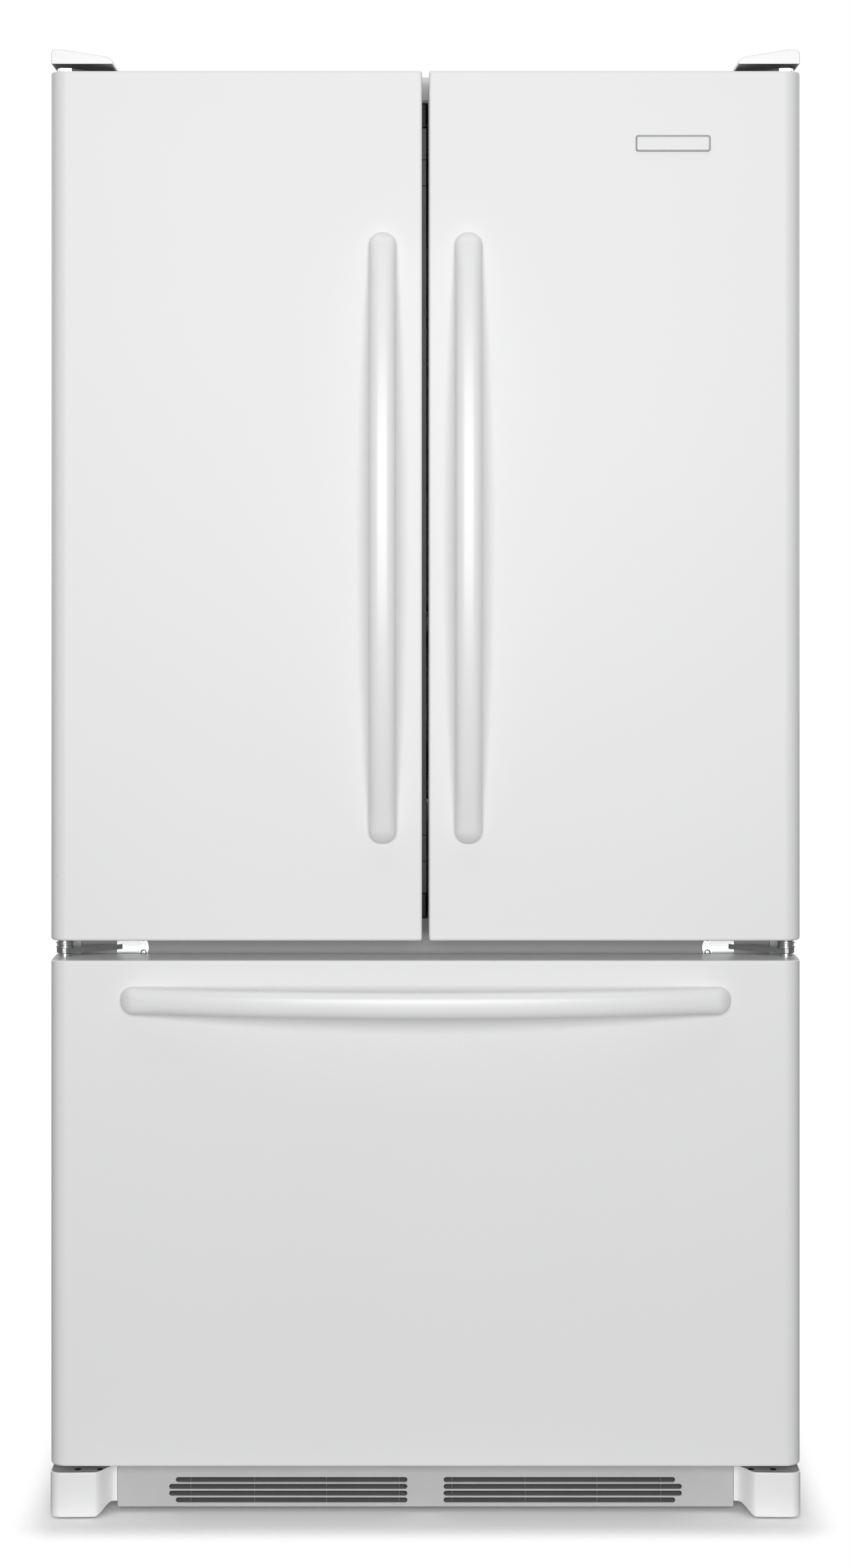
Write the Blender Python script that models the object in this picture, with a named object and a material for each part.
"""French door refrigerator: two doors above, one freezer drawer below.

Metres, +Z up, front towards -Y. The origin lies on the floor, at the middle of the outer box.
Each sub-part is one object. A piece that moves hangs from an empty on its joint's axis.
"""

import math

import bmesh
import bpy
from mathutils import Matrix, Vector

# ---- Overall sizes ----
WIDTH = 0.905  # across both doors
CABINET_DEPTH = 0.737  # front flange to back panel
DOOR_HEIGHT = 1.048
DRAWER_HEIGHT = 0.6095
DRAWER_BASE = 0.063  # floor to the drawer's lower edge
MID_GAP = 0.0235  # drawer to doors
DOOR_GAP = 0.0084  # door to door
DOOR_THICKNESS = 0.065
SEAL_GAP = 0.012  # back edge of a door to the cabinet flange
TOP_STEP = 0.004  # cabinet top above the door tops
SIDE_STEP = 0.001  # door edge beyond the cabinet side

# ---- Sheet, walls and clearances ----
FIT = 0.0003  # gap between pieces that touch
PLAY = 0.001  # gap between pieces that move past each other
SHEET = 0.0012  # cabinet and door steel
RAIL_SHEET = 0.002
FLANGE_STEP = 0.003  # cabinet front flange short of the compartment's roof
SIDE_WALL = 0.040  # foam and liner together
TOP_WALL = 0.030
REAR_WALL = 0.050
MID_WALL = 0.030  # each side of the line between the compartments
FREEZER_FLOOR = 0.070
LINER_RADIUS = 0.022

# ---- Doors ----
OUTER_EDGE_R = 0.020  # vertical edge on the hinge side
INNER_EDGE_R = 0.003
LIP_R = 0.003  # top and bottom front edges
PIN_INSET = 0.014  # door edge to hinge pin
PIN_SETBACK = 0.040  # door face to hinge pin
PIN_R = 0.004
PIN_LENGTH = 0.022  # inside the door
DIKE = 0.045  # raised inner frame behind the door's back edge
DIKE_WIDTH = 0.028
DRAWER_DIKE = 0.010  # drawer's inner frame behind the cabinet front
DIKE_ROOT = 0.010  # how far the inner frame runs into the liner's slab
DIKE_MARGIN = 0.015  # dike to compartment wall
SEAL_WIDTH = 0.022
SEAL_REACH = 0.0032  # right seal's lip from the middle line

# ---- Handles and badge ----
HANDLE_REACH = 0.062
HANDLE_WIDTH = 0.032
HANDLE_BAR = 0.021
HANDLE_FOOT = 0.052
HANDLE_END = 0.016
HANDLE_SIDES = 12
DOOR_HANDLE_LENGTH = 0.736
DOOR_HANDLE_X = 0.0516  # middle line to the handle's middle
DOOR_HANDLE_RISE = 0.46326  # share of the door height, lower edge to the handle's middle
DRAWER_HANDLE_LENGTH = 0.735
DRAWER_HANDLE_DROP = 0.047  # drawer top to the handle's middle
BADGE = (0.090, 0.002, 0.0196)
BADGE_X = 0.298
BADGE_DROP = 0.0875  # door top to the badge's middle

# ---- Centre strip between the doors ----
STRIP_DEPTH = 0.018
STRIP_PIVOT_X = 0.050  # middle line to its pivot, on the left door
STRIP_RIGHT_EDGE = 0.0012  # past the middle line
KNUCKLE_R = 0.0045
KNUCKLE_HEIGHT = 0.030
KNUCKLE_INSET = 0.085  # strip's end to the middle of a knuckle

# ---- Base ----
GRILLE_SETBACK = 0.030  # door face to grille
GRILLE_BASE = 0.006
GRILLE_TOP = 0.059
GRILLE_PLATE = 0.003
GRILLE_SLOT = 0.0062
GRILLE_PITCH = 0.0082
GRILLE_MARGIN = 0.0675  # end of the grille to its slots
GRILLE_MIDDLE = 0.022
FOOT_COVER_WIDTH = 0.0785
FOOT_COVER_FLAT = 0.054
FOOT_COVER_TOP = 0.0555
FOOT_COVER_BASE = 0.002
FOOT_COVER_WALL = 0.0025
PAN_TOP = 0.0415
PAN_SHEET = 0.002
PAN_BASE = 0.012
LEG_R = 0.016
LEG_STEM_R = 0.006
LEG_PAD = 0.008
LEG_INSET = 0.040
ROLLER_R = 0.019
ROLLER_WIDTH = 0.020
ROLLER_BORE = 0.0052
AXLE_R = 0.0045
MACHINE_DEPTH = 0.225  # machine space at the lower back
MACHINE_TOP = 0.300

# ---- Inside the upper compartment ----
SHELF_SETBACK = 0.134  # cabinet flange to the shelf fronts
SHELF_THICKNESS = 0.020
SHELF_RIM = 0.014
SHELF_SIDE = 0.006  # shelf to wall, and to the middle line
SHELF_REAR = 0.045  # shelf to the compartment's back
LEFT_UPPER_SHELF = 0.7433  # shares of the compartment's height
LEFT_LOWER_SHELF = 0.5438
RIGHT_SHELF = 0.6386
COVER_HEIGHT = 0.350  # crisper cover above the compartment floor
DRAWERS_SETBACK = 0.099  # cabinet flange to the crisper fronts
DRAWERS_REAR = 0.060
PANTRY_HEIGHT = 0.140
DRAWER_WALL = 0.003
DRAWER_GAP = 0.006
TOWER_WIDTH = 0.140
TOWER_DEPTH = 0.034
CONTROL_SIZE = (0.240, 0.280, 0.038)
CONTROL_SETBACK = 0.180
DIAL_R = 0.015
DIAL_LENGTH = 0.014

# ---- Door bins ----
BIN_DEPTH = 0.095
BIN_WALL = 0.003
BIN_HEIGHT = 0.100
LEFT_UPPER_BIN = 0.687  # shares of the door height
LEFT_LOWER_BIN = 0.3769
RIGHT_BIN = 0.4103
DAIRY_BASE = 0.7634
DAIRY_HEIGHT = 0.125
DAIRY_WALL = 0.004
LID_THICKNESS = 0.004

# ---- Inside the freezer ----
BASKET_SETBACK = 0.040  # cabinet flange to the basket fronts
LOWER_BASKET_HEIGHT = 0.262
LOWER_BASKET_REAR = 0.0155  # basket to the hump over the machine space
UPPER_BASKET_HEIGHT = 0.120
UPPER_BASKET_STEP = 0.030  # shorter than the lower basket
BASKET_RADIUS = 0.020
BASKET_WALL = 0.004
BASKET_FLOOR_GAP = 0.014
SLIDE_Z = 0.290  # above the freezer floor
SLIDE_FRONT = 0.008  # cabinet flange to the slides
SLIDE_REAR = 0.1215  # slides to the evaporator cover
SLIDE_HEIGHTS = (0.040, 0.032, 0.022)  # cabinet, middle and drawer members
SLIDE_DEPTHS = (0.013, 0.011, 0.0065)
SLIDE_SHEET = 0.0015
BACK_PANEL_GAP = 0.056  # evaporator space
HUMP_WALL = 0.045  # tub wall over the machine space
HUMP_SLOPE = 0.040

# ---- Cooling machine ----
ROLLER_SETBACK = 0.060  # back sheet to the roller's axle
COMPRESSOR_X = 0.200
CONDENSER_X = (-0.360, -0.125)
CONDENSER_HEIGHT = 0.190
CONDENSER_FINS = 12
FAN_X = -0.080
FAN_Z = 0.150
FAN_SHIFT = 0.010  # behind the middle of the machine space
FAN_R = 0.068
FAN_HUB_R = 0.020
FAN_LENGTH = 0.024
FAN_SPIGOT_R = 0.012
COLD_FAN_R = 0.042
COLD_FAN_HUB_R = 0.015
COLD_FAN_SPIGOT_R = 0.009
COLD_FAN_LENGTH = 0.018
COLD_FAN_DROP = 0.065  # freezer roof to the fan's axis
FAN_PLAY = 0.0006
FAN_BLADES = 5
BLADE_THICKNESS = 0.004

# ---- Hinges ----
HINGE_PLATE = 0.004
HINGE_PLATE_WIDTH = 0.057
HINGE_PLATE_REACH = 0.090  # behind the cabinet's front
HINGE_COLLAR_R = 0.008
COVER_HEIGHT_OVER = 0.024  # hinge cover above the cabinet top
COVER_WIDTH = 0.0745
COVER_SETBACK = 0.014  # door face to the cover
COVER_REACH = 0.115
COVER_WALL = 0.002
ARM_THICKNESS = 0.006
ARM_SHIFT = 0.004  # arm's middle below the line between the compartments
ARM_INNER = 0.113  # door edge to the plate's inner end
ARM_BEND = 0.074  # door edge to the bend


def rounded(low, high, radii, steps=3):
    """Rounded rectangle, counter-clockwise from the low corner. radii: one, or four."""
    radii = [radii] * 4 if isinstance(radii, (int, float)) else radii
    corners = [(low[0], low[1]), (high[0], low[1]), (high[0], high[1]), (low[0], high[1])]
    inward = [(1, 1), (-1, 1), (-1, -1), (1, -1)]
    points = []
    for quarter, ((x, y), (sx, sy), radius) in enumerate(zip(corners, inward, radii)):
        centre = (x + sx * radius, y + sy * radius)
        for step in range(steps + 1):
            turn = math.pi * (1 + quarter / 2 + step / steps / 2)
            points.append((centre[0] + radius * math.cos(turn), centre[1] + radius * math.sin(turn)))
    return points


def border(low, high, width, radius, inner_radius=0.002):
    """Two rounded rectangles, one inside the other by width."""
    inner_low = (low[0] + width, low[1] + width)
    inner_high = (high[0] - width, high[1] - width)
    return rounded(low, high, radius), rounded(inner_low, inner_high, inner_radius)


def circle(centre, radius, sides=24):
    turns = [2 * math.pi * i / sides for i in range(sides)]
    return [(centre[0] + radius * math.cos(t), centre[1] + radius * math.sin(t)) for t in turns]


def inset(outline, distance):
    """The outline moved inwards by distance, for a counter-clockwise outline."""
    moved = []
    for i, point in enumerate(outline):
        here = Vector(point)
        before = (here - Vector(outline[i - 1])).normalized()
        after = (Vector(outline[(i + 1) % len(outline)]) - here).normalized()
        normal = Vector((-before.y - after.y, before.x + after.x)).normalized()
        stretch = max(0.3, normal.dot(Vector((-before.y, before.x))))
        moved.append(tuple(here + normal * distance / stretch))
    return moved


def lift(points, axis, level):
    """2-D points put on the plane across the axis: (y, z), (x, z) or (x, y)."""
    place = {
        "X": lambda p: (level, p[0], p[1]),
        "Y": lambda p: (p[0], level, p[1]),
        "Z": lambda p: (p[0], p[1], level),
    }[axis]
    return [place(p) for p in points]


def loft(loops, capped=True):
    """A closed solid through loops of equally many points. Uncapped, the last joins the first."""
    shape = bmesh.new()
    rings = [[shape.verts.new(point) for point in loop] for loop in loops]
    pairs = list(zip(rings, rings[1:]))
    if not capped:
        pairs.append((rings[-1], rings[0]))
    for lower, upper in pairs:
        for i in range(len(lower)):
            j = (i + 1) % len(lower)
            shape.faces.new((lower[i], lower[j], upper[j], upper[i]))
    if capped:
        shape.faces.new(rings[0][::-1])
        shape.faces.new(rings[-1])
    bmesh.ops.recalc_face_normals(shape, faces=shape.faces)
    return shape


def prism(outline, axis, start, end):
    return loft([lift(outline, axis, start), lift(outline, axis, end)])


def block(low, high):
    return prism([(low[0], low[1]), (high[0], low[1]), (high[0], high[1]), (low[0], high[1])],
                 "Z", low[2], high[2])


def ring(outer, inner, axis, start, end):
    """A wall between two outlines, open at both ends."""
    loops = [lift(outer, axis, start), lift(outer, axis, end)]
    loops += [lift(inner, axis, end), lift(inner, axis, start)]
    return loft(loops, capped=False)


def hollow(outer, inner, axis, base, mouth, floor):
    """A tray: closed at the base, open at the mouth, with a floor of the given thickness."""
    deck = base + math.copysign(floor, mouth - base)
    loops = [lift(outer, axis, base), lift(outer, axis, mouth)]
    loops += [lift(inner, axis, mouth), lift(inner, axis, deck)]
    return loft(loops)


def rod(centre, radius, axis, start, end, sides=16):
    return prism(circle(centre, radius, sides), axis, start, end)


def turned(profile, centre, sides=24):
    """A solid turned about the vertical through centre. profile: (radius, height), bottom to top."""
    loops = [lift(circle(centre, radius, sides), "Z", height) for radius, height in profile]
    return loft(loops)


def material(name, colour, roughness, metallic=0.0):
    made = bpy.data.materials.new(name)
    made.use_nodes = True
    shader = made.node_tree.nodes["Principled BSDF"]
    shader.inputs["Base Color"].default_value = (*colour, 1.0)
    shader.inputs["Roughness"].default_value = roughness
    shader.inputs["Metallic"].default_value = metallic
    return made


def keep(name, shape, look):
    """A mesh object from a bmesh, in world coordinates, with its own material."""
    mesh = bpy.data.meshes.new(name)
    shape.to_mesh(mesh)
    shape.free()
    made = bpy.data.objects.new(name, mesh)
    bpy.context.scene.collection.objects.link(made)
    mesh.materials.append(material(name, *look))
    mesh.shade_smooth()
    mesh.set_sharp_from_angle(angle=math.radians(35))
    return made


def work(target, shape, operation):
    """A Boolean on target with a hidden helper."""
    name = f"{target.name}_{operation.lower()}_{len(target.modifiers)}"
    mesh = bpy.data.meshes.new(name)
    shape.to_mesh(mesh)
    shape.free()
    helper = bpy.data.objects.new(name, mesh)
    bpy.context.scene.collection.objects.link(helper)
    helper.hide_render = True
    helper.display_type = "WIRE"
    change = target.modifiers.new(name, "BOOLEAN")
    change.operation = operation
    change.solver = "EXACT"
    change.object = helper
    return target


def cut(target, shape):
    return work(target, shape, "DIFFERENCE")


def add(target, shape):
    return work(target, shape, "UNION")


def pivot(name, place):
    empty = bpy.data.objects.new(name, None)
    empty.location = place
    bpy.context.scene.collection.objects.link(empty)
    return empty


def hang(objects, empty):
    """Parent objects to an empty with their own origins on it. Their helpers come along."""
    back = Matrix.Translation(-empty.location)
    for made in objects:
        for thing in [made, *(m.object for m in made.modifiers if m.type == "BOOLEAN")]:
            thing.data.transform(back)
            thing.parent = empty


def mirrored(points, side):
    """Outline points with x turned to the given side, still counter-clockwise."""
    if side > 0:
        return [(x, y) for x, y in points]
    return [(-x, y) for x, y in reversed(points)]


def spread(a, b):
    return min(a, b), max(a, b)


def span_box(x0, x1, y0, y1, z0, z1):
    (x0, x1), (y0, y1), (z0, z1) = spread(x0, x1), spread(y0, y1), spread(z0, z1)
    return block((x0, y0, z0), (x1, y1, z1))


# ---- Lines of the whole object, worked out from the sizes ----
HALF = WIDTH / 2
CABINET_HALF = HALF - SIDE_STEP
DEPTH = HANDLE_REACH + DOOR_THICKNESS + SEAL_GAP + CABINET_DEPTH
FACE_Y = HANDLE_REACH - DEPTH / 2
DOOR_BACK_Y = FACE_Y + DOOR_THICKNESS
FRONT_Y = DOOR_BACK_Y + SEAL_GAP
BACK_Y = FRONT_Y + CABINET_DEPTH
DRAWER_TOP = DRAWER_BASE + DRAWER_HEIGHT
DOOR_BASE = DRAWER_TOP + MID_GAP
DOOR_TOP = DOOR_BASE + DOOR_HEIGHT
CABINET_TOP = DOOR_TOP + TOP_STEP
RAIL_Z = DRAWER_TOP + MID_GAP / 2
PIN_X = HALF - PIN_INSET
PIN_Y = FACE_Y + PIN_SETBACK
TUB_FRONT_Y = FRONT_Y + RAIL_SHEET + FIT
TUB_BACK_Y = BACK_Y - SHEET - FIT
TUB_HALF = CABINET_HALF - SHEET - FIT
CAVE_HALF = TUB_HALF - SIDE_WALL
CAVE_BACK_Y = TUB_BACK_Y - REAR_WALL
FRIDGE_FLOOR_Z = RAIL_Z + MID_WALL
FRIDGE_ROOF_Z = CABINET_TOP - SHEET - FIT - TOP_WALL
FREEZER_ROOF_Z = RAIL_Z - MID_WALL
FREEZER_BASE_Z = PAN_TOP + FIT
FREEZER_FLOOR_Z = FREEZER_BASE_Z + FREEZER_FLOOR
MACHINE_FRONT_Y = TUB_BACK_Y - MACHINE_DEPTH
HUMP_Y = MACHINE_FRONT_Y - HUMP_WALL
PANEL_Y = CAVE_BACK_Y - BACK_PANEL_GAP
ROLLER_Y = BACK_Y - ROLLER_SETBACK
FAN_Y = (MACHINE_FRONT_Y + BACK_Y) / 2 + FAN_SHIFT
FLANGE = SHEET + FIT + TOP_WALL - FLANGE_STEP
SLIDE_LEVEL = FREEZER_FLOOR_Z + SLIDE_Z

# ---- Colours: (rgb), roughness, metallic ----
WHITE = ((0.86, 0.86, 0.85), 0.35)
LINER_WHITE = ((0.88, 0.89, 0.88), 0.45)
GREY_PLASTIC = ((0.55, 0.55, 0.54), 0.50)
DARK_PLASTIC = ((0.05, 0.05, 0.05), 0.55)
STEEL = ((0.62, 0.63, 0.64), 0.35, 1.0)
CHROME = ((0.75, 0.75, 0.76), 0.15, 1.0)
BLACK_STEEL = ((0.04, 0.04, 0.045), 0.45, 0.3)
SEAL_WHITE = ((0.78, 0.78, 0.77), 0.65)
CLEAR = ((0.85, 0.90, 0.92), 0.10)


def cabinet():
    """Steel case with its back sheet, base pan and the rail between the compartments."""
    base = PAN_BASE + FIT

    def arch(reach):
        side, top = CABINET_HALF, CABINET_TOP
        return [(-side, base), (-side + reach, base), (-side + reach, top - reach),
                (side - reach, top - reach), (side - reach, base), (side, base), (side, top), (-side, top)]

    wrapper = keep("cabinet_wrapper", prism(arch(SHEET), "Y", FRONT_Y, BACK_Y), WHITE)
    add(wrapper, prism(arch(FLANGE), "Y", FRONT_Y, FRONT_Y + SHEET))

    edge = CABINET_HALF - SHEET / 2
    add(wrapper, span_box(-edge, edge, BACK_Y - SHEET, BACK_Y, MACHINE_TOP + FIT, CABINET_TOP - SHEET / 2))

    side = CABINET_HALF - SHEET - FIT
    rail_half = CABINET_HALF - FLANGE - FIT
    keep("centre_rail", span_box(-rail_half, rail_half, FRONT_Y, FRONT_Y + RAIL_SHEET,
                                 RAIL_Z - MID_WALL, RAIL_Z + MID_WALL - FIT), GREY_PLASTIC)

    top, low = PAN_TOP, PAN_TOP - PAN_SHEET
    section = [(-side, base), (-side + PAN_SHEET, base), (-side + PAN_SHEET, low),
               (side - PAN_SHEET, low), (side - PAN_SHEET, base), (side, base), (side, top), (-side, top)]
    pan = keep("base_pan", prism(section, "Y", TUB_FRONT_Y, TUB_BACK_Y), STEEL)
    for hand in (-1, 1):
        inner, outer = hand * (side - 0.030), hand * (side - PAN_SHEET / 2)
        add(pan, rod((ROLLER_Y, ROLLER_R), AXLE_R, "X", inner, outer))
    wall_x = FAN_X - FAN_LENGTH / 2 - PLAY
    add(pan, span_box(wall_x - 0.004, wall_x, FAN_Y - 0.020, FAN_Y + 0.020, low + 0.0005, FAN_Z + 0.020))
    add(pan, rod((FAN_Y, FAN_Z), FAN_SPIGOT_R, "X", wall_x - 0.002, FAN_X + 0.004))


def liners():
    """Both moulded tubs, each with the foam behind it."""
    outer = rounded((-TUB_HALF, RAIL_Z + FIT / 2), (TUB_HALF, CABINET_TOP - SHEET - FIT), 0.001)
    inner = rounded((-CAVE_HALF, FRIDGE_FLOOR_Z), (CAVE_HALF, FRIDGE_ROOF_Z), LINER_RADIUS)
    keep("fridge_liner", hollow(outer, inner, "Y", TUB_BACK_Y, TUB_FRONT_Y, REAR_WALL), LINER_WHITE)

    step_y, step_z = MACHINE_FRONT_Y, MACHINE_TOP
    outside = [(TUB_FRONT_Y, FREEZER_BASE_Z), (step_y - HUMP_SLOPE, FREEZER_BASE_Z), (step_y, step_z),
               (TUB_BACK_Y, step_z), (TUB_BACK_Y, RAIL_Z - FIT / 2), (TUB_FRONT_Y, RAIL_Z - FIT / 2)]
    tub = keep("freezer_liner", prism(outside, "X", -TUB_HALF, TUB_HALF), LINER_WHITE)
    front, deck = TUB_FRONT_Y - 0.01, step_z + HUMP_SLOPE
    inside = [(front, FREEZER_FLOOR_Z), (HUMP_Y - HUMP_SLOPE, FREEZER_FLOOR_Z), (HUMP_Y, deck),
              (CAVE_BACK_Y, deck), (CAVE_BACK_Y, FREEZER_ROOF_Z), (front, FREEZER_ROOF_Z)]
    cut(tub, prism(inside, "X", -CAVE_HALF, CAVE_HALF))


def base():
    """Grille, foot covers, levelling legs, rollers and the machine space cover."""
    grille_y = FACE_Y + GRILLE_SETBACK
    inner = HALF - FOOT_COVER_WIDTH - 0.0005
    section = [(grille_y, GRILLE_BASE), (grille_y + GRILLE_PLATE, GRILLE_BASE),
               (grille_y + GRILLE_PLATE, GRILLE_TOP - GRILLE_PLATE),
               (FRONT_Y - FIT, GRILLE_TOP - GRILLE_PLATE),
               (FRONT_Y - FIT, GRILLE_TOP), (grille_y, GRILLE_TOP)]
    grille = keep("base_grille", prism(section, "X", -inner, inner), GREY_PLASTIC)
    for row in range(4):
        level = GRILLE_BASE + 0.0078 + row * GRILLE_PITCH
        for hand in (-1, 1):
            low, high = spread(hand * GRILLE_MIDDLE, hand * (inner - GRILLE_MARGIN))
            slot = rounded((low, level - GRILLE_SLOT / 2), (high, level + GRILLE_SLOT / 2), GRILLE_SLOT / 2.1)
            cut(grille, prism(slot, "Y", grille_y - 0.01, grille_y + 0.01))

    for hand, word in ((-1, "left"), (1, "right")):
        flat = HALF - FOOT_COVER_FLAT
        seam = HALF - FOOT_COVER_WIDTH
        sweep = [(flat - (flat - seam - 0.004) * t, FACE_Y + GRILLE_SETBACK * (3 * t * t - 2 * t ** 3))
                 for t in (0.2, 0.4, 0.6, 0.8, 1.0)]
        nose = [(HALF - 0.010 + 0.010 * math.sin(t), FACE_Y + 0.010 - 0.010 * math.cos(t))
                for t in (math.pi / 2, math.pi / 4, 0)]
        outline = [(HALF, FRONT_Y - FIT), *nose, (flat, FACE_Y), *sweep, (seam, grille_y),
                   (seam, FRONT_Y - FIT)]
        outline = mirrored(outline[::-1], hand)
        shape = ring(outline, inset(outline, FOOT_COVER_WALL), "Z", FOOT_COVER_BASE, FOOT_COVER_TOP)
        keep(f"{word}_foot_cover", shape, WHITE)

        leg_x, leg_y = hand * (CABINET_HALF - LEG_INSET), FRONT_Y + LEG_INSET
        stem = PAN_TOP - PAN_SHEET - FIT
        leg = turned([(LEG_R - 0.002, 0), (LEG_R, 0.002), (LEG_R, LEG_PAD), (LEG_STEM_R, LEG_PAD + 0.001),
                      (LEG_STEM_R, stem)], (leg_x, leg_y), 16)
        keep(f"{word}_levelling_leg", leg, STEEL)

        roller_x = hand * (CABINET_HALF - SHEET - FIT - PAN_SHEET - PLAY - ROLLER_WIDTH / 2)
        start, end = roller_x - ROLLER_WIDTH / 2, roller_x + ROLLER_WIDTH / 2
        hub = (ROLLER_Y, ROLLER_R)
        wheel = ring(circle(hub, ROLLER_R, 24), circle(hub, ROLLER_BORE, 24),
                     "X", start, end)
        roller = keep(f"{word}_rear_roller", wheel, DARK_PLASTIC)
        hang([roller], pivot(f"{word}_roller_axis", (roller_x, ROLLER_Y, ROLLER_R)))

    side = CABINET_HALF - SHEET - FIT
    cover = keep("machine_cover", span_box(-side, side, BACK_Y - SHEET, BACK_Y, PAN_BASE + FIT, MACHINE_TOP),
                 GREY_PLASTIC)
    for row in range(5):
        level = 0.090 + row * 0.035
        cut(cover, span_box(-side + 0.06, -side + 0.36, BACK_Y - 0.01, BACK_Y + 0.01, level, level + 0.008))
        cut(cover, span_box(side - 0.36, side - 0.06, BACK_Y - 0.01, BACK_Y + 0.01, level, level + 0.008))


def finned(low, high, fins):
    """A condenser block: a solid core with upright plate fins, as one comb outline."""
    pitch = (high[0] - low[0]) / (2 * fins - 1)
    waist = low[2] + 0.25 * (high[2] - low[2])
    comb = [(low[0], low[2]), (high[0], low[2])]
    for fin in reversed(range(fins)):
        x = low[0] + 2 * pitch * fin
        comb += [(x + pitch, high[2]), (x, high[2])]
        if fin:
            comb += [(x, waist), (x - pitch, waist)]
    return prism(comb, "Y", low[1], high[1])


def fan_wheel(centre, axis, start, end, radius, hub_radius, spigot_radius):
    """A cup hub and its swept blades, each as a shape."""
    points = []
    for blade in range(FAN_BLADES):
        for turn, reach in ((0.0, hub_radius), (0.12, radius), (0.42, radius), (0.72, radius),
                            (0.62, hub_radius)):
            angle = 2 * math.pi * (blade + turn) / FAN_BLADES
            points.append((centre[0] + reach * math.cos(angle), centre[1] + reach * math.sin(angle)))
    middle = (start + end) / 2
    wheel = prism(points, axis, middle - BLADE_THICKNESS / 2, middle + BLADE_THICKNESS / 2)
    outer = circle(centre, hub_radius + 0.002, 16)
    cup = hollow(outer, circle(centre, spigot_radius + FAN_PLAY, 16), axis, end, start, 0.003)
    return wheel, cup


def machine():
    """Compressor, condenser and its fan in the space at the lower back."""
    deck = PAN_TOP + FIT
    centre = (COMPRESSOR_X, FAN_Y)
    profile = [(0.050, 0), (0.078, 0.004), (0.080, 0.020), (0.080, 0.095), (0.088, 0.098), (0.088, 0.104),
               (0.080, 0.107), (0.072, 0.150), (0.045, 0.172), (0.012, 0.180)]
    keep("compressor", turned([(r, deck + z) for r, z in profile], centre, 20), BLACK_STEEL)
    coil = finned((CONDENSER_X[0], MACHINE_FRONT_Y + 0.055, deck),
                  (CONDENSER_X[1], BACK_Y - 0.030, deck + CONDENSER_HEIGHT), CONDENSER_FINS)
    keep("condenser_coil", coil, BLACK_STEEL)

    start, end = FAN_X - FAN_LENGTH / 2, FAN_X + FAN_LENGTH / 2
    wheel, cup = fan_wheel((FAN_Y, FAN_Z), "X", start, end, FAN_R, FAN_HUB_R, FAN_SPIGOT_R)
    fan = keep("condenser_fan", cup, DARK_PLASTIC)
    add(fan, wheel)
    cut(fan, rod((FAN_Y, FAN_Z), FAN_SPIGOT_R + FAN_PLAY, "X", start - 0.01, end - 0.003))
    hang([fan], pivot("condenser_fan_axis", (FAN_X, FAN_Y, FAN_Z)))

    low, high = MACHINE_TOP + HUMP_SLOPE + 0.002, FREEZER_ROOF_Z - FIT
    side = CAVE_HALF - FIT
    cold_z = high - COLD_FAN_DROP
    plate = keep("evaporator_cover", span_box(-side, side, PANEL_Y, PANEL_Y + 0.004, low, high), LINER_WHITE)
    add(plate, rod((0, cold_z), COLD_FAN_SPIGOT_R, "Y", PANEL_Y + 0.002, PANEL_Y + 0.018))
    for row in range(3):
        level = high - 0.120 + row * 0.040
        for hand in (-1, 1):
            slot = span_box(hand * 0.12, hand * 0.30, PANEL_Y - 0.01, PANEL_Y + 0.01, level, level + 0.012)
            cut(plate, slot)
    start = PANEL_Y + 0.004 + PLAY
    wheel, cup = fan_wheel((0, cold_z), "Y", start, start + COLD_FAN_LENGTH, COLD_FAN_R, COLD_FAN_HUB_R,
                           COLD_FAN_SPIGOT_R)
    fan = keep("evaporator_fan", cup, DARK_PLASTIC)
    add(fan, wheel)
    bore = rod((0, cold_z), COLD_FAN_SPIGOT_R + FAN_PLAY, "Y", start - 0.01, start + COLD_FAN_LENGTH - 0.003)
    cut(fan, bore)
    hang([fan], pivot("evaporator_fan_axis", (0, start, cold_z)))


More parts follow.
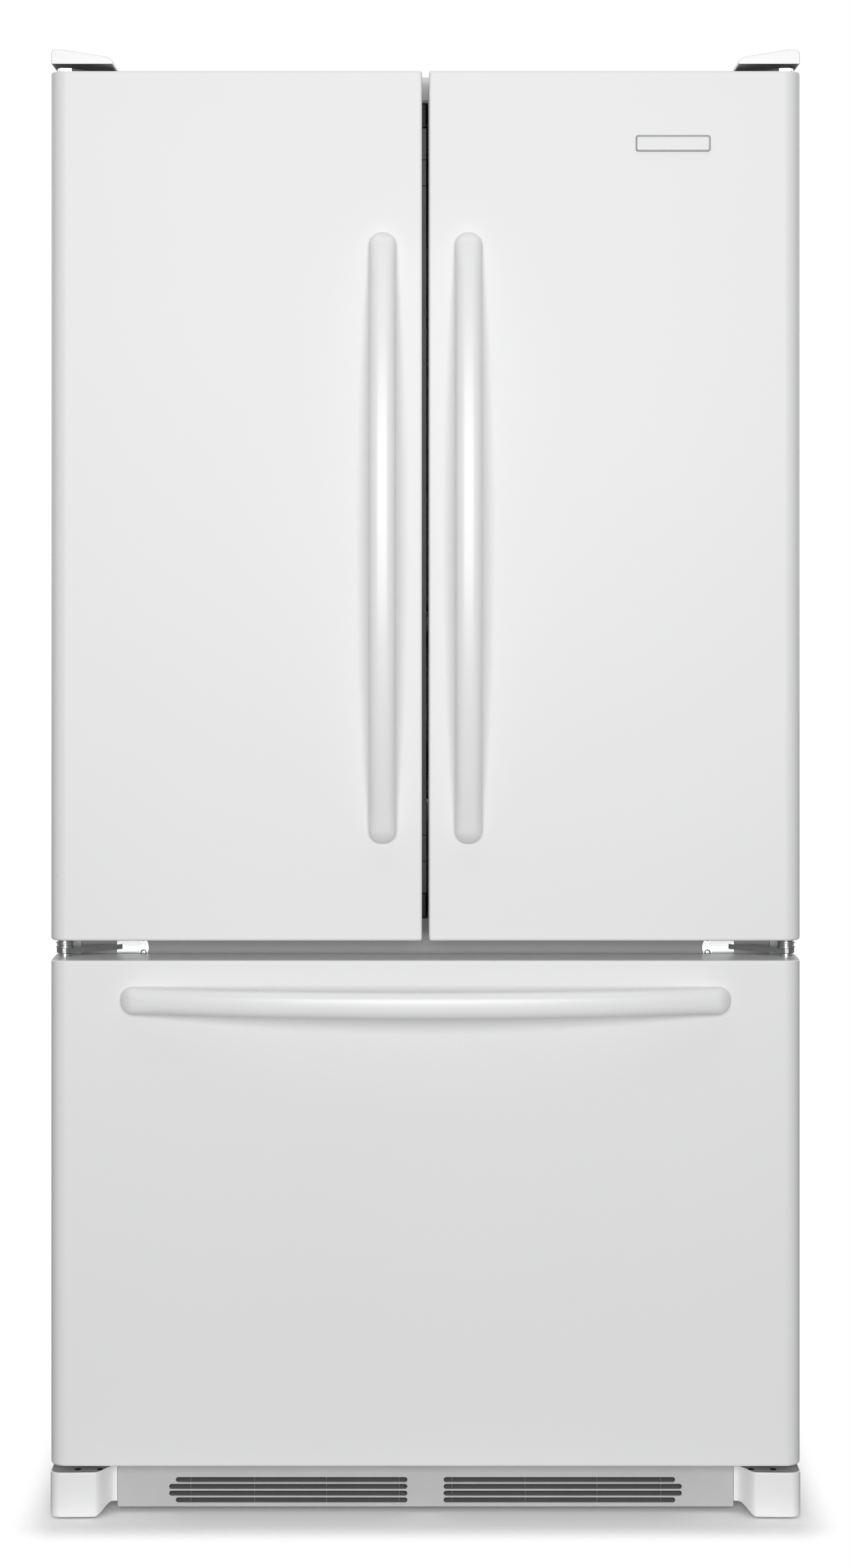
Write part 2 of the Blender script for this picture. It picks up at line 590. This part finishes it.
def hinges():
    """Top and centre hinge brackets with their pins, and the covers over the top ones."""
    for hand, word in ((-1, "left"), (1, "right")):
        pin = (hand * PIN_X, PIN_Y)
        level = CABINET_TOP + FIT
        side_x, back = HALF - 0.005, FRONT_Y + HINGE_PLATE_REACH
        inner_x = side_x - HINGE_PLATE_WIDTH
        outline = [(side_x, PIN_Y), (side_x, back), (inner_x, back),
                   (inner_x, FRONT_Y + 0.010), (PIN_X - 0.009, PIN_Y - 0.007), (PIN_X + 0.004, PIN_Y - 0.009)]
        plate = prism(mirrored(outline, hand), "Z", level, level + HINGE_PLATE)
        plate = keep(f"{word}_top_hinge", plate, CHROME)
        add(plate, rod(pin, HINGE_COLLAR_R, "Z", DOOR_TOP + FIT, level + 0.002))
        add(plate, rod(pin, PIN_R, "Z", DOOR_TOP - PIN_LENGTH, level + 0.003))

        rim, top = level, CABINET_TOP + COVER_HEIGHT_OVER
        front, back = FACE_Y + COVER_SETBACK, FRONT_Y + COVER_REACH
        inner_x = HALF - COVER_WIDTH
        section = [(inner_x, rim), (HALF, rim), (HALF, top - 0.005), (HALF - 0.0015, top - 0.0015),
                   (HALF - 0.006, top), (HALF - 0.014, top), (inner_x + 0.0065, top - 0.009),
                   (inner_x, top - 0.014)]
        cover = keep(f"{word}_hinge_cover", prism(mirrored(section, hand), "Y", front, back), WHITE)
        wall = COVER_WALL
        low_x, high_x = inner_x + wall, HALF - wall
        inside = [(low_x, rim - 0.01), (high_x, rim - 0.01), (high_x, top - 0.007),
                  (HALF - 0.015, top - wall - 0.0005),
                  (inner_x + 0.0075, top - 0.0115), (low_x, top - 0.0155)]
        cut(cover, prism(mirrored(inside, hand), "Y", front + wall, back - wall))
        lip = CABINET_TOP + 0.0065
        leg_x = inner_x + 0.008
        cut(cover, span_box(hand * leg_x, hand * (HALF + 0.01), front - 0.01, FRONT_Y, rim - 0.01, lip))
        cut(cover, span_box(hand * (inner_x - 0.01), hand * leg_x, front - 0.01, FRONT_Y - 0.006,
                            rim - 0.01, lip))

        arm_low = RAIL_Z - ARM_SHIFT - ARM_THICKNESS / 2
        arm_high = arm_low + ARM_THICKNESS
        inner_x, bend_x = HALF - ARM_INNER, HALF - ARM_BEND
        arm = [(HALF - 0.004, PIN_Y), (PIN_X + 0.004, PIN_Y + 0.009), (bend_x + 0.004, FRONT_Y - FIT),
               (bend_x - 0.010, FRONT_Y - FIT), (bend_x - 0.004, FRONT_Y - 0.006),
               (PIN_X - 0.008, PIN_Y - 0.006), (PIN_X + 0.002, PIN_Y - 0.009), (HALF - 0.006, PIN_Y - 0.006)]
        bracket = prism(mirrored(arm[::-1], hand), "Z", arm_low, arm_high)
        bracket = keep(f"{word}_centre_hinge", bracket, CHROME)
        low, high = spread(hand * inner_x, hand * bend_x)
        radii = [0.001, 0.001, 0.001, 0.001]
        for corner in ((0, 3) if hand > 0 else (1, 2)):
            radii[corner] = 0.010
        plate = rounded((low, RAIL_Z - 0.018), (high, RAIL_Z + 0.007), radii)
        add(bracket, prism(plate, "Y", FRONT_Y - 0.0035, FRONT_Y - FIT))
        add(bracket, rod(pin, 0.0085, "Z", arm_low, DOOR_BASE - FIT))
        add(bracket, rod(pin, PIN_R, "Z", arm_low + 0.001, DOOR_BASE + PIN_LENGTH))


def door_section(hand, skin):
    """A door's outline from above, drawn inwards by skin, open side towards +Y."""
    hinge_side, free_side = HALF - skin, DOOR_GAP / 2 + skin
    front = FACE_Y + skin
    outer_r, inner_r = OUTER_EDGE_R - skin, max(INNER_EDGE_R - skin, 0.001)
    outline = rounded((free_side, front), (hinge_side, DOOR_BACK_Y), [inner_r, outer_r, 0.0012, 0.0012], 5)
    return mirrored(outline, hand)


def soften_ends(shape, low, high):
    """Round the front edges of a vertical slab at both ends."""
    edges = []
    for edge in shape.edges:
        a, b = edge.verts
        level = a.co.z
        flat = abs(a.co.z - b.co.z) < 1e-6 and min(abs(level - low), abs(level - high)) < 1e-6
        if flat and max(a.co.y, b.co.y) < DOOR_BACK_Y - 0.005:
            edges.append(edge)
    bmesh.ops.bevel(shape, geom=edges, offset=LIP_R, segments=2, profile=0.5, affect="EDGES")
    return shape


def handle(name, middle, length, upright):
    """A bowed bar whose two feet stand on the face."""
    half = length / 2
    rounding = HANDLE_WIDTH / 2
    foot = half - HANDLE_FOOT
    stations = [-1 + 0.002]
    stations += [-(half - rounding + rounding * math.sin(t)) / half for t in (1.15, 0.8, 0.4, 0)]
    stations += [-(foot + 0.012) / half, -foot / half]
    stations += [-foot / half * f for f in (0.82, 0.6, 0.4, 0.2)]
    stations += [0] + [-s for s in reversed(stations)]
    loops = []
    for s in stations:
        along = s * half
        over = max(0.0, abs(along) - (half - rounding)) / rounding
        nose = math.sqrt(max(0.0, 1 - over * over))
        out = (HANDLE_END + (HANDLE_REACH - HANDLE_END) * (1 - s * s)) * (0.25 + 0.75 * nose)
        lift_off = max(0.0, 1 - (along / foot) ** 2)
        gap = max(FIT, (HANDLE_REACH - HANDLE_BAR) * lift_off)
        wide = HANDLE_WIDTH / 2 * max(nose, 0.15)
        centre, reach = (out + gap) / 2, (out - gap) / 2
        loop = []
        for i in range(HANDLE_SIDES):
            turn = 2 * math.pi * i / HANDLE_SIDES
            c, d = math.cos(turn), math.sin(turn)
            power = 1.0 if d > 0 or lift_off > 0.25 else 0.45
            across = wide * math.copysign(abs(c) ** (0.75 if d > 0 else power), c)
            depth = centre + reach * math.copysign(abs(d) ** power, d)
            y = FACE_Y - depth
            loop.append((middle[0] + across, y, middle[1] + along) if upright
                        else (middle[0] + along, y, middle[1] + across))
        loops.append(loop)
    return keep(name, loft(loops), WHITE)


def bin_tray(name, low_x, high_x, base_z, height):
    """An open-topped bin against the floor of the door's pocket."""
    front, back = DOOR_BACK_Y + FIT, DOOR_BACK_Y + BIN_DEPTH
    outer = rounded((low_x, front), (high_x, back), 0.012)
    shape = hollow(outer, inset(outer, BIN_WALL), "Z", base_z, base_z + height, BIN_WALL)
    return keep(name, shape, CLEAR)


def strip_knuckle_levels():
    low, high = FRIDGE_FLOOR_Z + PLAY, FRIDGE_ROOF_Z - PLAY
    return [low + KNUCKLE_INSET, high - KNUCKLE_INSET]


def door(hand, word):
    """One door: steel skin, foamed liner with its raised frame, seal, handle and bins."""
    skin = soften_ends(prism(door_section(hand, 0), "Z", DOOR_BASE, DOOR_TOP), DOOR_BASE, DOOR_TOP)
    panel = keep(f"{word}_door_panel", skin, WHITE)
    room = door_section(hand, SHEET)
    room = [(x, y if y < DOOR_BACK_Y - 0.005 else y + 0.01) for x, y in room]
    cut(panel, prism(room, "Z", DOOR_BASE + SHEET, DOOR_TOP - SHEET))

    core_base, core_top = DOOR_BASE + SHEET + LIP_R, DOOR_TOP - SHEET - LIP_R
    slab = prism(door_section(hand, SHEET + FIT), "Z", core_base, core_top)
    core = keep(f"{word}_door_liner", slab, LINER_WHITE)
    free = STRIP_PIVOT_X + 0.012 if hand < 0 else 0.034
    hinge_side = CAVE_HALF - DIKE_MARGIN
    low_z, high_z = FRIDGE_FLOOR_Z + DIKE_MARGIN, FRIDGE_ROOF_Z - DIKE_MARGIN
    low_x, high_x = spread(hand * free, hand * hinge_side)
    frame, pocket = border((low_x, low_z), (high_x, high_z), DIKE_WIDTH, 0.020, 0.010)
    add(core, ring(frame, pocket, "Y", DOOR_BACK_Y - DIKE_ROOT, DOOR_BACK_Y + DIKE))
    pocket_low, pocket_high = low_x + DIKE_WIDTH, high_x - DIKE_WIDTH

    pin = (hand * PIN_X, PIN_Y)
    socket = PIN_LENGTH + 0.003
    for low, high in ((DOOR_BASE - 0.01, DOOR_BASE + socket), (DOOR_TOP - socket, DOOR_TOP + 0.01)):
        cut(panel, rod(pin, PIN_R + PLAY, "Z", low, high))
        cut(core, rod(pin, PIN_R + PLAY, "Z", low, high))

    lip = DOOR_GAP / 2 + 0.003 if hand < 0 else SEAL_REACH
    outer_x = PIN_X - 0.003
    outer = rounded((lip, DOOR_BASE + 0.003), (outer_x, FRIDGE_ROOF_Z + SEAL_WIDTH - 0.004), 0.004)
    inner = rounded((lip + SEAL_WIDTH, DOOR_BASE + 0.003 + SEAL_WIDTH),
                    (outer_x - SEAL_WIDTH, FRIDGE_ROOF_Z - 0.004), 0.004)
    seal = keep(f"{word}_gasket", ring(mirrored(outer, hand), mirrored(inner, hand), "Y",
                                       DOOR_BACK_Y + FIT, FRONT_Y - FIT), SEAL_WHITE)

    handle_z = DOOR_BASE + DOOR_HEIGHT * DOOR_HANDLE_RISE
    grip = handle(f"{word}_handle", (hand * DOOR_HANDLE_X, handle_z), DOOR_HANDLE_LENGTH, True)
    pieces = [panel, core, seal, grip]
    shelf_x = (pocket_low + PLAY, pocket_high - PLAY)
    if hand < 0:
        for level_word, share in (("upper", LEFT_UPPER_BIN), ("lower", LEFT_LOWER_BIN)):
            level = DOOR_BASE + DOOR_HEIGHT * share
            pieces.append(bin_tray(f"left_{level_word}_bin", *shelf_x, level, BIN_HEIGHT))
        web_x = hand * (free + 0.001)
        for level in strip_knuckle_levels():
            low, high = level - KNUCKLE_HEIGHT / 2, level + KNUCKLE_HEIGHT / 2
            mid_y = FRONT_Y + STRIP_DEPTH / 2
            add(core, span_box(web_x, -STRIP_PIVOT_X - 0.002, mid_y - 0.002, mid_y + 0.002, low, high))
            add(core, rod((-STRIP_PIVOT_X, mid_y), KNUCKLE_R, "Z", low, high, 16))
    else:
        pieces.append(bin_tray("right_bin", *shelf_x, DOOR_BASE + DOOR_HEIGHT * RIGHT_BIN, BIN_HEIGHT))
        pieces.append(badge())
        pieces.append(dairy_box(shelf_x))
    hang(pieces, pivot(f"{word}_door_axis", (*pin, DOOR_BASE)))
    return shelf_x


def dairy_box(shelf_x):
    """The dairy compartment, a box that snaps into the right door's pocket, open to the back."""
    base_z = DOOR_BASE + DOOR_HEIGHT * DAIRY_BASE
    front, back = DOOR_BACK_Y + FIT, DOOR_BACK_Y + BIN_DEPTH
    outer = rounded((shelf_x[0], base_z), (shelf_x[1], base_z + DAIRY_HEIGHT), 0.006)
    box = hollow(outer, inset(outer, DAIRY_WALL), "Y", front, back, DAIRY_WALL)
    return keep("dairy_box", box, LINER_WHITE)


def badge():
    width, thick, height = BADGE
    low_z = DOOR_TOP - BADGE_DROP - height / 2
    plate = rounded((BADGE_X - width / 2, low_z), (BADGE_X + width / 2, low_z + height), 0.003)
    return keep("badge", prism(plate, "Y", FACE_Y - FIT - thick, FACE_Y - FIT), STEEL)


def dairy_lid(shelf_x):
    """A flap over the dairy compartment's mouth, hinged along its top edge."""
    low_z = DOOR_BASE + DOOR_HEIGHT * DAIRY_BASE + 0.001
    high_z = low_z + DAIRY_HEIGHT + 0.003
    front = DOOR_BACK_Y + BIN_DEPTH + PLAY
    half = LID_THICKNESS / 2
    lid = keep("dairy_lid", block((shelf_x[0], front, low_z), (shelf_x[1], front + 2 * half, high_z)), CLEAR)
    hang([lid], pivot("dairy_lid_axis", (sum(shelf_x) / 2, front + half, high_z - half)))


def centre_strip():
    """The heated strip that closes the gap between the doors and folds back with the left one.

    Its heel behind the pivot is so short that the corner turns inside the gap to the seal.
    """
    low, high = FRIDGE_FLOOR_Z + PLAY, FRIDGE_ROOF_Z - PLAY
    half = STRIP_DEPTH / 2
    heel = 0.8 * math.sqrt((half + FIT) ** 2 - half ** 2)
    back_edge = -STRIP_PIVOT_X - heel
    strip = keep("mullion", span_box(back_edge, STRIP_RIGHT_EDGE, FRONT_Y, FRONT_Y + STRIP_DEPTH, low, high),
                 DARK_PLASTIC)
    for level in strip_knuckle_levels():
        reach = KNUCKLE_HEIGHT / 2 + PLAY
        cut(strip, span_box(back_edge - 0.01, -STRIP_PIVOT_X + KNUCKLE_R + 0.002, FRONT_Y - 0.01,
                            FRONT_Y + STRIP_DEPTH + 0.01, level - reach, level + reach))
    hang([strip], pivot("mullion_axis", (-STRIP_PIVOT_X, FRONT_Y + STRIP_DEPTH / 2, low)))


def upper_interior():
    """Shelves, crisper cover, the three drawers, air tower and the control with its dial."""
    front, back = FRONT_Y + SHELF_SETBACK, CAVE_BACK_Y - SHELF_REAR
    shelves = (("left_upper_shelf", -1, LEFT_UPPER_SHELF), ("left_lower_shelf", -1, LEFT_LOWER_SHELF),
               ("right_shelf", 1, RIGHT_SHELF))
    for name, hand, height in shelves:
        low_x, high_x = spread(hand * SHELF_SIDE, hand * (CAVE_HALF - SHELF_SIDE))
        outer, inner = border((low_x, front), (high_x, back), SHELF_RIM, 0.008)
        level = FRIDGE_FLOOR_Z + height * (FRIDGE_ROOF_Z - FRIDGE_FLOOR_Z)
        shape = hollow(outer, inner, "Z", level, level + SHELF_THICKNESS, 0.008)
        keep(name, shape, CLEAR)

    level = FRIDGE_FLOOR_Z + COVER_HEIGHT
    side = CAVE_HALF - FIT
    outer, inner = border((-side, FRONT_Y + DRAWERS_SETBACK), (side, back), 0.020, 0.006)
    keep("crisper_cover", hollow(outer, inner, "Z", level, level + SHELF_THICKNESS, 0.008), CLEAR)

    front, back = FRONT_Y + DRAWERS_SETBACK, CAVE_BACK_Y - DRAWERS_REAR
    corner = LINER_RADIUS * (1 - math.sqrt(0.5)) + DRAWER_GAP
    pantry_low = FRIDGE_FLOOR_Z + corner
    pantry_high = FRIDGE_FLOOR_Z + PANTRY_HEIGHT
    reach = CAVE_HALF - corner
    trays = (("pantry_drawer", -reach, reach, pantry_low, pantry_high),
             ("left_crisper", -reach, -DRAWER_GAP / 2, pantry_high + DRAWER_GAP, level - DRAWER_GAP),
             ("right_crisper", DRAWER_GAP / 2, reach, pantry_high + DRAWER_GAP, level - DRAWER_GAP))
    for name, low_x, high_x, low_z, high_z in trays:
        outer = rounded((low_x, front), (high_x, back), LINER_RADIUS)
        tray = keep(name, hollow(outer, inset(outer, DRAWER_WALL), "Z", low_z, high_z, DRAWER_WALL), CLEAR)
        hang([tray], pivot(f"{name}_slide", ((low_x + high_x) / 2, front, low_z)))

    half = TOWER_WIDTH / 2
    tower_low, tower_high = level + SHELF_THICKNESS + 0.010, FRIDGE_ROOF_Z - 0.012
    outer = rounded((-half, tower_low), (half, tower_high), 0.012)
    tower = hollow(outer, inset(outer, 0.003), "Y", CAVE_BACK_Y - TOWER_DEPTH, CAVE_BACK_Y - FIT, 0.003)
    keep("air_tower", tower, LINER_WHITE)

    width, depth, height = CONTROL_SIZE
    front = FRONT_Y + CONTROL_SETBACK
    low_z = FRIDGE_ROOF_Z - FIT - height
    outer = rounded((-width / 2, front), (width / 2, front + depth), 0.015)
    housing = hollow(outer, inset(outer, 0.003), "Z", low_z, FRIDGE_ROOF_Z - FIT, 0.003)
    keep("control_housing", housing, LINER_WHITE)
    level = low_z + height / 2
    knob = keep("temperature_dial", rod((0, level), DIAL_R, "Y", front - FIT - 0.006, front - FIT), WHITE)
    add(knob, span_box(-0.003, 0.003, front - DIAL_LENGTH, front - FIT - 0.003, level - 0.012, level + 0.012))
    hang([knob], pivot("temperature_dial_axis", (0, front, level)))


def channel(hand, outer_x, depth, height, centre_z, sheet):
    """C section open towards the middle of the cabinet."""
    low, high = centre_z - height / 2, centre_z + height / 2
    inner = outer_x - depth
    points = [(inner, low), (outer_x, low), (outer_x, high), (inner, high), (inner, high - sheet),
              (outer_x - sheet, high - sheet), (outer_x - sheet, low + sheet), (inner, low + sheet)]
    return mirrored(points, hand)


def freezer():
    """Drawer front, seal, handle, baskets and the telescopic slides."""
    outline = rounded((-HALF, FACE_Y), (HALF, DOOR_BACK_Y), [OUTER_EDGE_R, OUTER_EDGE_R, 0.0012, 0.0012], 5)
    slab = soften_ends(prism(outline, "Z", DRAWER_BASE, DRAWER_TOP), DRAWER_BASE, DRAWER_TOP)
    front = keep("drawer_front", slab, WHITE)
    inner = HALF - SHEET
    radii = [OUTER_EDGE_R - SHEET] * 2 + [0.001] * 2
    room = rounded((-inner, FACE_Y + SHEET), (inner, DOOR_BACK_Y + 0.01), radii, 5)
    cut(front, prism(room, "Z", DRAWER_BASE + SHEET, DRAWER_TOP - SHEET))

    gap = SHEET + FIT
    inner = HALF - gap
    body = rounded((-inner, FACE_Y + gap), (inner, DOOR_BACK_Y), [OUTER_EDGE_R - gap] * 2 + [0.001] * 2, 5)
    core_low, core_high = DRAWER_BASE + SHEET + LIP_R, DRAWER_TOP - SHEET - LIP_R
    core = keep("drawer_liner", prism(body, "Z", core_low, core_high), LINER_WHITE)
    half = CAVE_HALF - 0.045
    frame, pocket = border((-half, FREEZER_FLOOR_Z + DIKE_MARGIN), (half, FREEZER_ROOF_Z - DIKE_MARGIN),
                           DIKE_WIDTH, 0.020, 0.010)
    add(core, ring(frame, pocket, "Y", DOOR_BACK_Y - DIKE_ROOT, FRONT_Y + DRAWER_DIKE))

    outer_x = CAVE_HALF + SEAL_WIDTH
    low_z, high_z = FREEZER_FLOOR_Z - SEAL_WIDTH, FREEZER_ROOF_Z + 0.009
    outer, inner = border((-outer_x, low_z), (outer_x, high_z), SEAL_WIDTH, 0.004)
    seal = keep("drawer_gasket", ring(outer, inner, "Y", DOOR_BACK_Y + FIT, FRONT_Y - FIT), SEAL_WHITE)
    grip = handle("drawer_handle", (0, DRAWER_TOP - DRAWER_HANDLE_DROP), DRAWER_HANDLE_LENGTH, False)

    start, end = FRONT_Y + SLIDE_FRONT, PANEL_Y - SLIDE_REAR
    wall = CAVE_HALF - FIT
    middle_x = wall - SLIDE_SHEET - PLAY
    arm_x = middle_x - SLIDE_SHEET - PLAY
    for hand, word in ((-1, "left"), (1, "right")):
        rail = channel(hand, wall, SLIDE_DEPTHS[0], SLIDE_HEIGHTS[0], SLIDE_LEVEL, SLIDE_SHEET)
        keep(f"{word}_cabinet_slide", prism(rail, "Y", start, end), STEEL)
        rail = channel(hand, middle_x, SLIDE_DEPTHS[1], SLIDE_HEIGHTS[1], SLIDE_LEVEL, SLIDE_SHEET)
        middle = keep(f"{word}_middle_slide", prism(rail, "Y", start, end), STEEL)
        hang([middle], pivot(f"{word}_middle_slide_axis", (hand * middle_x, start, SLIDE_LEVEL)))

    arm_low, arm_high = SLIDE_LEVEL - SLIDE_HEIGHTS[2] / 2, SLIDE_LEVEL + SLIDE_HEIGHTS[2] / 2
    inner_x = arm_x - SLIDE_DEPTHS[2] - 0.012
    tie_y = end - 0.012
    carrier = keep("drawer_frame", span_box(-inner_x - 0.005, inner_x + 0.005, tie_y, tie_y + 0.006,
                                            arm_low, arm_high), STEEL)
    for hand in (-1, 1):
        arm = span_box(hand * inner_x, hand * arm_x, DOOR_BACK_Y + FIT, end - 0.002, arm_low, arm_high)
        add(carrier, arm)

    basket_half = inner_x - 0.002
    basket_front = FRONT_Y + BASKET_SETBACK
    basket_back = HUMP_Y - HUMP_SLOPE - LOWER_BASKET_REAR
    low_z = FREEZER_FLOOR_Z + BASKET_FLOOR_GAP
    outer = rounded((-basket_half, basket_front), (basket_half, basket_back), BASKET_RADIUS)
    tray = hollow(outer, inset(outer, BASKET_WALL), "Z", low_z, low_z + LOWER_BASKET_HEIGHT, BASKET_WALL)
    lower = keep("lower_basket", tray, WHITE)
    hang([front, core, seal, grip, carrier, lower], pivot("drawer_slide_axis", (0, DOOR_BACK_Y, SLIDE_LEVEL)))

    low_z = arm_high + 0.012
    upper_back = basket_back - UPPER_BASKET_STEP
    outer = rounded((-basket_half, basket_front), (basket_half, upper_back), BASKET_RADIUS)
    tray = hollow(outer, inset(outer, BASKET_WALL), "Z", low_z, low_z + UPPER_BASKET_HEIGHT, BASKET_WALL)
    upper = keep("upper_basket", tray, WHITE)
    hang([upper], pivot("upper_basket_slide", (0, basket_front, low_z)))


def main():
    for made in list(bpy.data.objects):
        bpy.data.objects.remove(made)
    cabinet()
    liners()
    base()
    machine()
    hinges()
    door(-1, "left")
    dairy_lid(door(1, "right"))
    centre_strip()
    upper_interior()
    freezer()


main()
